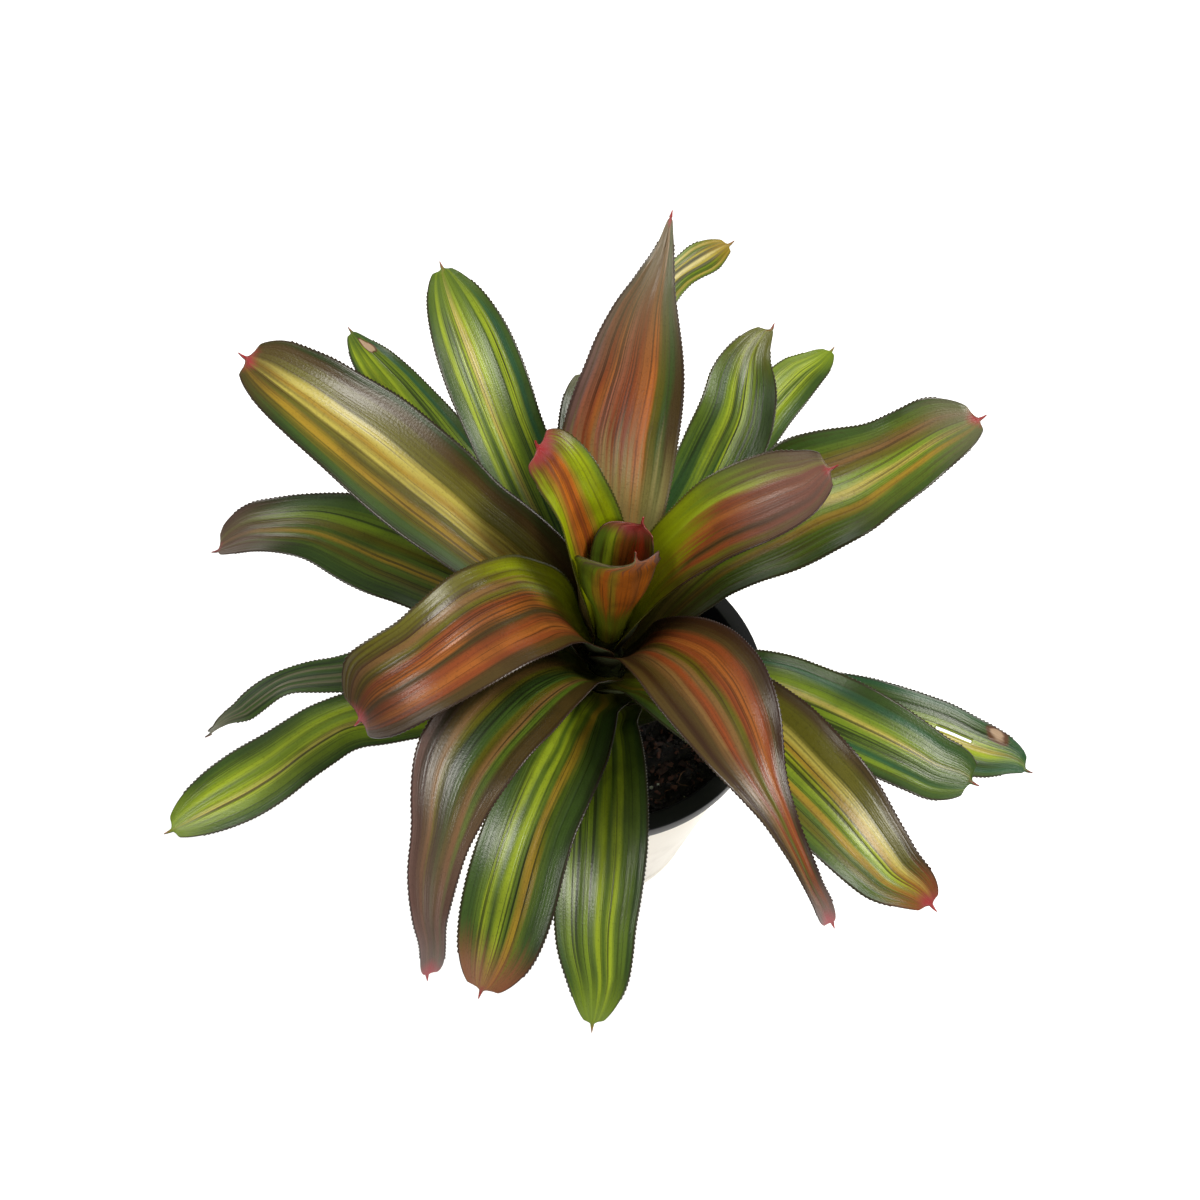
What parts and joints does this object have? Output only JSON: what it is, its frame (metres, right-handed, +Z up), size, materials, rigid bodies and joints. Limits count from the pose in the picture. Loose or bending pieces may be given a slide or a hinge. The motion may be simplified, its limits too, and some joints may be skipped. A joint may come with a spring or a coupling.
{
  "type": "potted bromeliad",
  "caption": "Bromeliad rosette of spine-tipped, striped copper and green strap leaves in a black nursery pot set in a white cover pot.",
  "frame": {"origin": "centre of the cover pot's flat foot, on the surface it stands on", "axes": "+Z up along the pot's axis; -Y towards the side with the two short hanging leaves, from which the picture is taken; +X to that viewer's right"},
  "size_m": [0.3103, 0.3145, 0.2672],
  "materials": {
    "cover_pot": "smooth, slightly glossy white plastic",
    "nursery_pot": "satin black moulded plastic",
    "potting_mix": "damp dark peat and bark mix with pale bits",
    "stem": "fibrous green-brown stem",
    "young_leaf": "glossy young leaf, lime with copper streaks and a red tip",
    "copper_leaf": "semi-gloss leaf, copper midband, olive margins, red tip",
    "striped_leaf": "semi-gloss leaf, lime stripes between dark green margins",
    "old_leaf": "semi-gloss older green leaf with fine stripes"
  },
  "bodies": {
    "root": {"cover_pot": "cover_pot", "nursery_pot": "nursery_pot", "potting_mix": "potting_mix", "stem": "stem", "leaf_heart_back": "young_leaf", "leaf_heart_front": "young_leaf", "leaf_heart_left": "young_leaf", "leaf_upper_right": "copper_leaf", "leaf_upper_back": "copper_leaf", "leaf_upper_front_left": "copper_leaf", "leaf_upper_front_right": "copper_leaf", "leaf_upper_left": "copper_leaf", "leaf_upper_far_right": "copper_leaf", "leaf_middle_front_left": "striped_leaf", "leaf_middle_back_left": "striped_leaf", "leaf_middle_right_low": "striped_leaf", "leaf_middle_back_right": "striped_leaf", "leaf_middle_left": "striped_leaf", "leaf_middle_front": "striped_leaf", "leaf_middle_right": "striped_leaf", "leaf_lower_back": "old_leaf", "leaf_lower_front": "old_leaf", "leaf_lower_far_back": "old_leaf", "leaf_lower_left": "old_leaf", "leaf_lower_back_left": "old_leaf", "leaf_lower_back_right": "old_leaf", "leaf_lower_front_left": "old_leaf", "leaf_lower_right": "old_leaf"}
  },
  "joints": []
}
